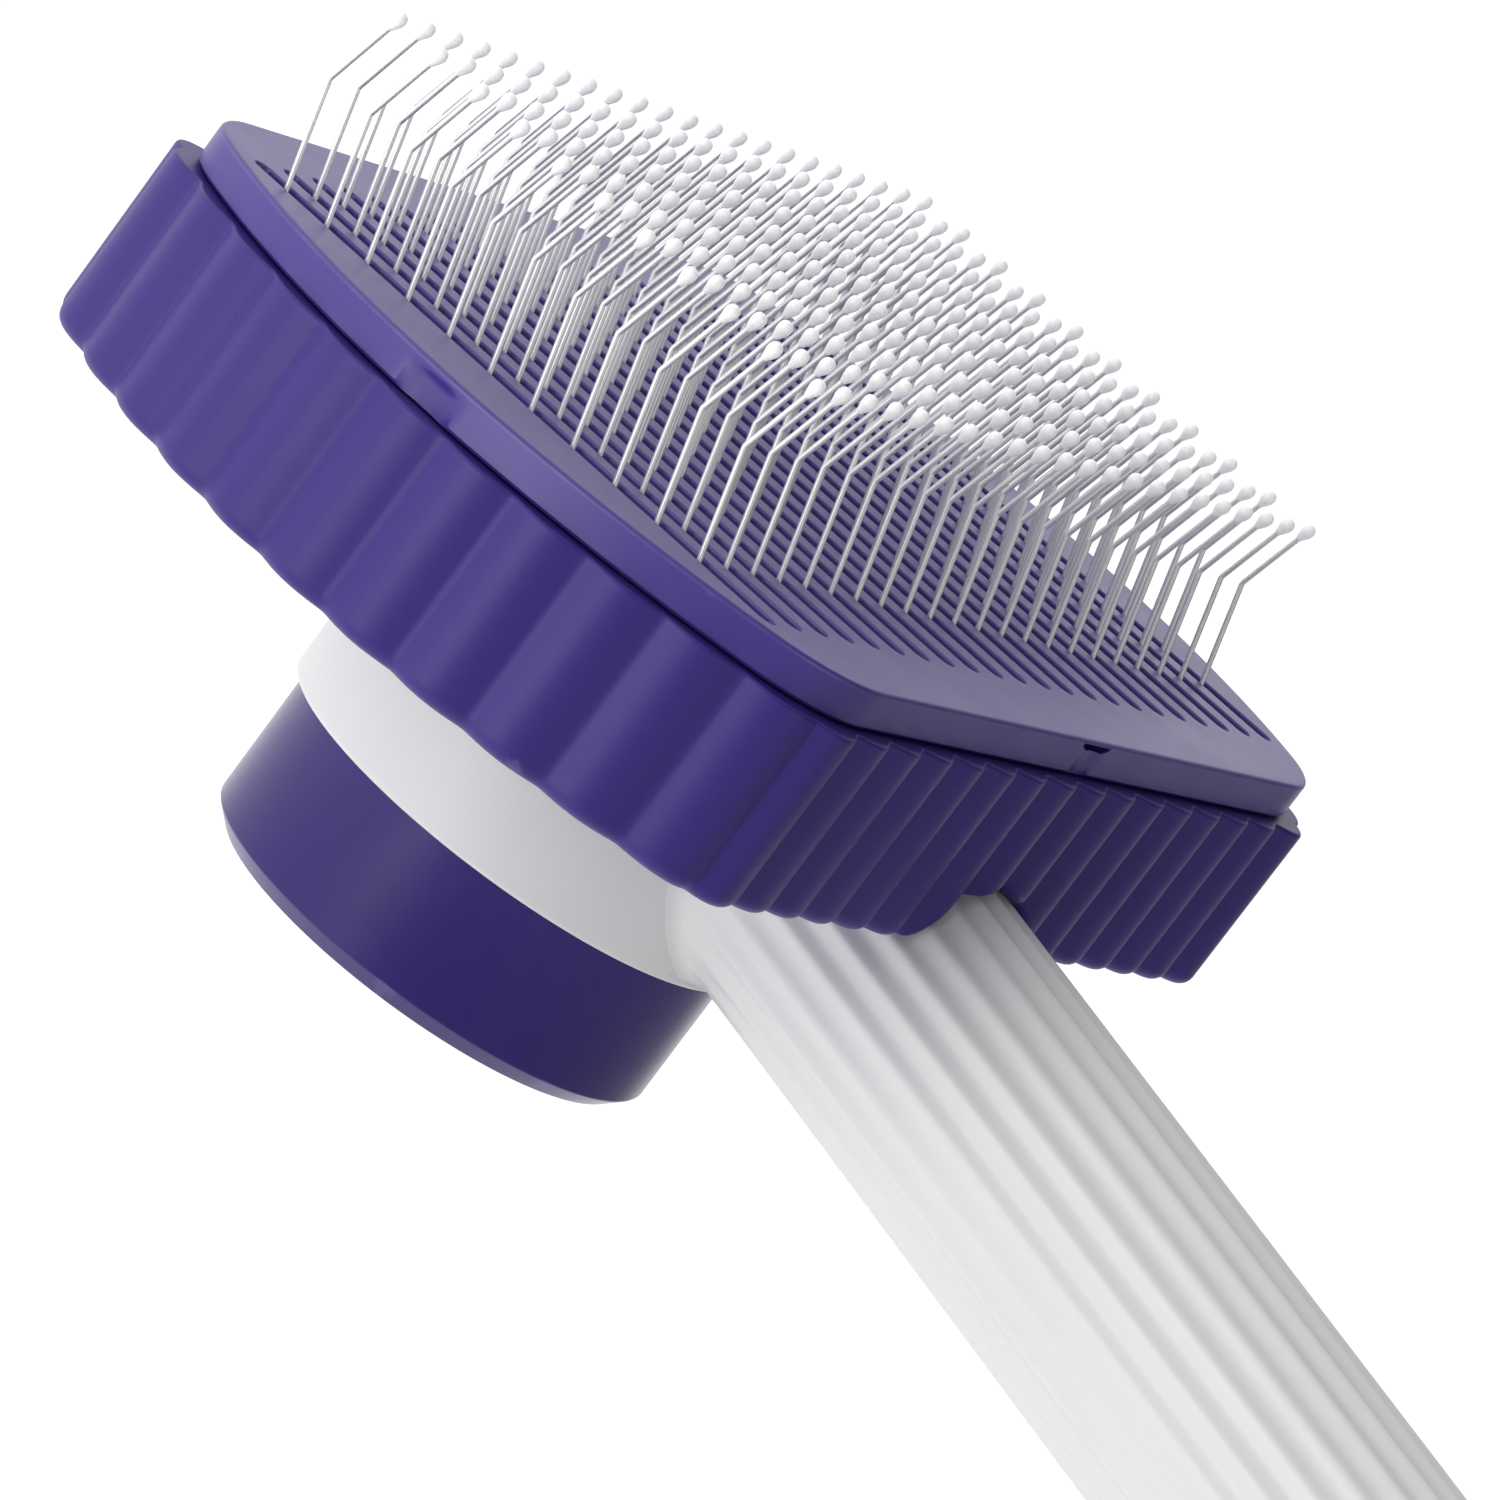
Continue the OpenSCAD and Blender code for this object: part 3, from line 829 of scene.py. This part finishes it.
def make_bore():
    """What is cut out of the collar: the stepped bore and the push rods' holes in its roof."""
    lip = 0.2 * MM
    bore = Shape()
    profile = [(BORE_STEP_R, COLLAR_ROOF), (BORE_STEP_R, BORE_STEP), (BORE_R, BORE_STEP)]
    profile += [(BORE_R, COLLAR_LOW + lip), (BORE_R + lip, COLLAR_LOW - 0.1 * MM)]
    profile += [(BORE_R + lip, COLLAR_LOW - 3 * MM)]
    first, last = bore.skin(rings(profile, COLLAR_SIDES))
    posts = []
    for x, y in ROD_PLACES:
        top, base = bore.skin([circle(x, y, ROOF_HOLE_R, z, ROOF_HOLE_SIDES)
                               for z in (DECK_LOW + 2 * MM, COLLAR_ROOF)])
        bore.cap(top, up=True)
        posts.append(base)
    bore.fill(first, posts, up=True)
    bore.cap(last, up=False)
    return bore


def make_handle():
    """Collar and tube in one piece."""
    joined = boolean(make_drum().mesh("drum"), make_grip().mesh("grip"), "UNION")
    hollow = boolean(joined, make_bore().mesh("bore"), "DIFFERENCE")
    return piece("handle", hollow, white, BODY, ["handle_body"], sharp=38)


# ---------------------------------------------------------------- end cap

# Lengths are from the tube's end. The dome's outline is a quarter of an ellipse round a flat.
# FLAT_CUT is how far the block that cuts a flat reaches out, up and along.
CAP_SIDES = 128
PLUG_R = 8.4 * MM
PLUG_LEN = 9 * MM
PLUG_TAPER = (0.7 * MM, 0.8 * MM)
DOME_START = 2.4 * MM
DOME_LEN = 6.1 * MM
DOME_FLAT_R = 3.1 * MM
CAP_FLAT_X = 8.5 * MM
CAP_FLAT_START = 1.6 * MM
FLAT_CUT = (8 * MM, 6 * MM, 12 * MM)
HANG_BACK = 5 * MM
HANG_R = 2.5 * MM
HANG_FLARE = 0.5 * MM
HANG_SIDES = 48
DOME_STEPS = 12


def handle_block(xs, half_up, stops):
    """A block that spans xs across the handle, twice half_up in height and the stops along it."""
    block = Shape()
    corners = [(xs[0], -half_up), (xs[1], -half_up), (xs[1], half_up), (xs[0], half_up)]
    first, last = block.skin([[HANDLE_ROOT + HANDLE_AXIS * s + HANDLE_UP * up + X_AXIS * x
                               for x, up in corners] for s in stops])
    block.cap(first, up=True)
    block.cap(last, up=False)
    return block


def make_dome():
    """The plug and the domed end, before the flats and the hole are cut."""
    dome = Shape()
    profile = [(PLUG_R - PLUG_TAPER[0], -PLUG_LEN), (PLUG_R, PLUG_TAPER[1] - PLUG_LEN), (PLUG_R, 0)]
    profile += [(HANDLE_R - HANDLE_EDGE, 0), (HANDLE_R, HANDLE_EDGE), (HANDLE_R, DOME_START)]
    for i in range(1, DOME_STEPS + 1):
        a = QUARTER * i / DOME_STEPS
        profile.append((DOME_FLAT_R + (HANDLE_R - DOME_FLAT_R) * math.cos(a),
                        DOME_START + DOME_LEN * math.sin(a)))
    first, last = dome.skin([[handle_point(TURN * i / CAP_SIDES, r, HANDLE_LEN + s)
                              for i in range(CAP_SIDES)] for r, s in profile])
    dome.cap(first, up=True)
    dome.cap(last, up=False)
    return dome


def make_hang_hole():
    """The hang hole's inside, which widens at both mouths."""
    hole = Shape()
    centre = HANDLE_ROOT + HANDLE_AXIS * (HANDLE_LEN + HANG_BACK)
    beyond = 3 * MM
    wide = HANG_R + beyond + HANG_FLARE
    stops = [(-CAP_FLAT_X - beyond, wide), (HANG_FLARE - CAP_FLAT_X, HANG_R),
             (CAP_FLAT_X - HANG_FLARE, HANG_R), (CAP_FLAT_X + beyond, wide)]
    first, last = hole.skin([tilted_circle(centre + X_AXIS * x, r, HANDLE_AXIS, HANDLE_UP, HANG_SIDES)
                             for x, r in stops])
    hole.cap(first, up=True)
    hole.cap(last, up=False)
    return hole


def make_end_cap():
    """The plug and domed end of the handle, with two flats and a hang hole through them."""
    data = make_dome().mesh("cap")
    start = HANDLE_LEN + CAP_FLAT_START
    out, up, along = FLAT_CUT
    for side in (-1, 1):
        xs = sorted((side * CAP_FLAT_X, side * (CAP_FLAT_X + out)))
        block = handle_block(xs, up, (start, start + along))
        data = boolean(data, block.mesh("block"), "DIFFERENCE")
    data = boolean(data, make_hang_hole().mesh("hole"), "DIFFERENCE")
    return piece("cap_end", data, white, BODY, ["end_cap"], sharp=30)


# ---------------------------------------------------------------- button

BUTTON_SIDES = 192
BUTTON_EDGE = 0.3 * MM
BEVEL_EASE = 0.12 * MM
FACE_RIM = 1.5 * MM
BOSSES = 3
BOSS_EDGE = 0.2 * MM
BOSS_SIDES = 40


def button_profile():
    """(radius, z) points of the cap: up its inside from the floor, over its edge and down its outside.

    A narrow flat ring beside the bevel keeps the lighter band on it, scuffs and a painted highlight,
    narrow.
    """
    slope = QUARTER / 2
    inner_r = BUTTON_R - BUTTON_WALL
    bevel_r = BUTTON_R - BUTTON_BEVEL
    profile = arc(inner_r - BUTTON_EDGE, BUTTON_FLOOR + BUTTON_EDGE, BUTTON_EDGE, -QUARTER, 0, 3)
    profile += [(inner_r, BUTTON_TOP - BUTTON_EDGE), (inner_r + BUTTON_EDGE, BUTTON_TOP)]
    profile += [(BUTTON_R - BUTTON_EDGE, BUTTON_TOP), (BUTTON_R, BUTTON_TOP - BUTTON_EDGE)]
    profile += arc(BUTTON_R - BUTTON_EDGE, BUTTON_BEVEL + BEVEL_EASE, BUTTON_EDGE, 0, -slope, 3)
    profile += arc(bevel_r - BEVEL_EASE, BUTTON_EDGE, BUTTON_EDGE, -slope, -QUARTER, 3)
    return profile + [(bevel_r - FACE_RIM, 0)]


def make_button():
    """The push button: a cap with three screw bosses inside."""
    shape = Shape()
    first, last = shape.skin(rings(button_profile(), BUTTON_SIDES))
    boss = [(BOSS_R - BOSS_EDGE, BOSS_TOP), (BOSS_R, BOSS_TOP - BOSS_EDGE), (BOSS_R, BUTTON_FLOOR)]
    feet = []
    for k in range(BOSSES):
        spot = BOSS_RING * direction(QUARTER + TURN * k / BOSSES)
        top, foot = shape.skin([circle(spot.x, spot.y, r, z, BOSS_SIDES) for r, z in boss])
        mouth, end = shape.skin([circle(spot.x, spot.y, BOSS_HOLE_R, z, HOLE_SIDES, True)
                                 for z in (BOSS_TOP, BOSS_HOLE_LOW)])
        shape.fill(top, [mouth], up=True)
        shape.cap(end[::-1], up=True)
        feet.append(foot)
    shape.fill(first, feet, up=True)
    shape.cap(last, up=False)
    return piece("button", shape.mesh("button"), button_violet, MOVING,
                 ["button_cap"])


# ---------------------------------------------------------------- pins

WIRE_SIDES = 10
TIP_SIDES = 14
BEND_STEPS = 6
ROOT_DEPTH = 1.5 * MM


def bent_path():
    """(y, z) points of a pin from inside the bed to the middle of its tip, with a small round bend."""
    bend = Vector((BEND_LEAN, BEND_H))
    low = bend.normalized()
    high = Vector((-UPPER_LEAN, UPPER_H)).normalized()
    turn = low.angle(high)
    back = BEND_R * math.tan(turn / 2)
    root = low * ((bed_high.z - ROOT_DEPTH - PLATE_TOP) / low.y)
    centre = bend - low * back + Vector((-low.y, low.x)) * BEND_R
    start = bend - low * back - centre
    points = [root, Vector((0, 0))]
    for i in range(BEND_STEPS + 1):
        points.append(centre + Matrix.Rotation(turn * i / BEND_STEPS, 2) @ start)
    points.append(bend + high * Vector((UPPER_LEAN, UPPER_H)).length)
    return points


def tube(shape, path, origin, r, sides):
    """A round wire along a path of (y, z) points from an origin."""
    loops = []
    for k, point in enumerate(path):
        before = path[max(k - 1, 0)]
        after = path[min(k + 1, len(path) - 1)]
        along = (after - before).normalized()
        spot = origin + Vector((0, point.x, point.y))
        loops.append(tilted_circle(spot, r, X_AXIS, Vector((0, along.y, -along.x)), sides))
    loops.reverse()
    first, last = shape.skin(loops)
    shape.cap(first, up=True)
    shape.cap(last, up=False)


# (radius, height along the wire) of a tip from its middle, in mm
DROP = [(0.0, 0.60), (0.20, 0.575), (0.36, 0.50), (0.49, 0.37), (0.57, 0.19), (0.60, -0.02),
        (0.575, -0.24), (0.51, -0.46), (0.42, -0.68), (0.34, -0.86), (0.29, -1.0), (0.25, -1.08)]


def drop(shape, centre, sides):
    """A pearl-like tip: blunt at its end and drawn out along the wire."""
    lean = Vector((0, -UPPER_LEAN, UPPER_H)).normalized()
    across = Vector((0, lean.z, -lean.y))
    first, last = shape.skin([tilted_circle(centre + lean * (z * MM), r * MM, X_AXIS, across, sides)
                              for r, z in DROP[1:]])
    hub = len(shape.points)
    shape.points.append(centre + lean * (DROP[0][1] * MM))
    for i in range(sides):
        shape.faces.append((first[i], first[(i + 1) % sides], hub))
    shape.cap(last, up=False)


def make_pins():
    """The pins and their tips, in four groups of columns, with the same number in their names."""
    path = bent_path()
    tip = Vector((0, BEND_LEAN - UPPER_LEAN, BEND_H + UPPER_H))
    for number, (start, end) in enumerate(zip(GROUP_ENDS, GROUP_ENDS[1:]), 1):
        wires = Shape()
        tips = Shape()
        for column in range(start, end):
            for row in range(ROWS):
                y = ROW_PITCH / 2 + (row - (ROWS - 1) / 2) * ROW_PITCH
                origin = Vector((column_x(column), y, PLATE_TOP))
                tube(wires, path, origin, WIRE_R, WIRE_SIDES)
                drop(tips, origin + tip, TIP_SIDES)
        piece(f"pins_{number}", wires.mesh(f"pins_{number}"), wire_steel, BODY,
              [f"bristle_wires_{number}"], sharp=50)
        piece(f"pin_tips_{number}", tips.mesh(f"pin_tips_{number}"), tip_white, BODY,
              [f"bristle_tips_{number}"], sharp=60)


# ---------------------------------------------------------------- spring

SPRING_TURNS = 7
SPRING_FLAT_TURNS = 0.8
SPRING_WIRE_R = 0.55 * MM
SPRING_STEPS = 48
SPRING_SIDES = 14


def spring_height(turn, low, high):
    """Height of the coil's wire after some turns: close together at both ends, even between them."""
    gap = 2 * SPRING_WIRE_R
    share = (turn - SPRING_FLAT_TURNS) / (SPRING_TURNS - 2 * SPRING_FLAT_TURNS)
    if share < 0:
        return low + turn / SPRING_FLAT_TURNS * gap
    if share > 1:
        return high - (SPRING_TURNS - turn) / SPRING_FLAT_TURNS * gap
    return low + gap + share * (high - low - 2 * gap)


def make_spring():
    """The coil between the plunger disc and the collar's roof, made at one length, though the real coil
    shortens with the stroke.
    """
    r = (spring_high.x - spring_low.x) / 2 - SPRING_WIRE_R
    low = spring_low.z + SPRING_WIRE_R
    high = spring_high.z - SPRING_WIRE_R
    loops = []
    for i in range(SPRING_TURNS * SPRING_STEPS + 1):
        turn = i / SPRING_STEPS
        out = direction(TURN * turn)
        middle = out * r + Z_AXIS * spring_height(turn, low, high)
        loops.append(tilted_circle(middle, SPRING_WIRE_R, out, Z_AXIS, SPRING_SIDES))
    shape = Shape()
    first, last = shape.skin(loops)
    shape.cap(first, up=True)
    shape.cap(last, up=False)
    spring = piece("coil", shape.mesh("coil"), spring_steel, BODY, ["return_spring"],
                   sharp=50)
    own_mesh(spring)


# ---------------------------------------------------------------- all pieces

make_shell()
make_plate()
make_handle()
make_end_cap()
make_button()
make_pins()
make_spring()

# Hidden pieces keep their CAD meshes
CAD_LOOKS = {
    "bristle_bed": inner_violet,
    "backing_plate": inner_violet,
    "ejector_frame": inner_violet,
    "plunger_disc": inner_violet,
    "bed_screws": screw_steel,
    "neck_screws": screw_steel,
    "button_screws": screw_steel,
    "guide_pins": screw_steel,
    "push_rods": screw_steel,
}
for name, material in CAD_LOOKS.items():
    nodes[name].data.materials.clear()
    nodes[name].data.materials.append(material)


# ---------------------------------------------------------------- floor and light

FLOOR_DROP = 250 * MM
FLOOR_HALF = 12.0
HEAD_MIDDLE = Vector((0, 0, 0.03))


def make_floor():
    """A wide pale floor well below the brush, which glows towards the far long side."""
    data = bpy.data.meshes.new("floor")
    z = cad_low.z - FLOOR_DROP
    corners = [(-1, -1), (1, -1), (1, 1), (-1, 1)]
    data.from_pydata([(FLOOR_HALF * x, FLOOR_HALF * y, z) for x, y in corners], [], [(0, 1, 2, 3)])
    floor = bpy.data.objects.new("floor", data)
    scene.collection.objects.link(floor)
    material, tree, shader, add = new_material("pale_floor")
    shader.inputs["Base Color"].default_value = (0.65, 0.65, 0.65, 1)
    shader.inputs["Roughness"].default_value = 0.9
    shader.inputs["Specular IOR Level"].default_value = 0.0
    shader.inputs["Emission Color"].default_value = (1, 1, 1, 1)
    spot = add("ShaderNodeNewGeometry")
    axes = add("ShaderNodeSeparateXYZ", None, {"Vector": spot.outputs["Position"]})
    glow = add("ShaderNodeMapRange", {"interpolation_type": "SMOOTHSTEP", "From Min": -0.45,
                                      "From Max": 0.2, "To Min": 0.0, "To Max": 0.68},
               {"Value": axes.outputs["Y"]})
    tree.links.new(glow.outputs["Result"], shader.inputs["Emission Strength"])
    data.materials.append(material)


def area_light(name, place, size, power):
    """A round soft lamp that faces the head."""
    light = bpy.data.lights.new(name, "AREA")
    light.shape = "DISK"
    light.size = size
    light.energy = power
    obj = bpy.data.objects.new(name, light)
    obj.location = place
    obj.rotation_mode = "QUATERNION"
    obj.rotation_quaternion = (Vector(place) - HEAD_MIDDLE).to_track_quat("Z", "Y")
    scene.collection.objects.link(obj)


def make_world():
    """Soft white surroundings: brightest towards +Y and dim towards the handle's end."""
    world = bpy.data.worlds.new("studio")
    world.use_nodes = True
    scene.world = world
    tree = world.node_tree
    add = wiring(tree)
    background = tree.nodes["Background"]
    background.inputs["Color"].default_value = (1, 1, 1, 1)
    place = add("ShaderNodeTexCoord")
    axes = add("ShaderNodeSeparateXYZ", None, {"Vector": place.outputs["Generated"]})
    side = add("ShaderNodeMapRange", {"interpolation_type": "SMOOTHSTEP", "From Min": -0.5,
                                      "From Max": 0.5, "To Min": 0.12, "To Max": 1.15},
               {"Value": axes.outputs["Y"]})
    tree.links.new(side.outputs["Result"], background.inputs["Strength"])


make_floor()
make_world()
area_light("key", place=(-0.8, 0.12, 0.12), size=0.5, power=2.1)
area_light("fill", place=(-0.25, -0.9, 0.25), size=0.5, power=0.9)
scene.view_settings.view_transform = "Standard"
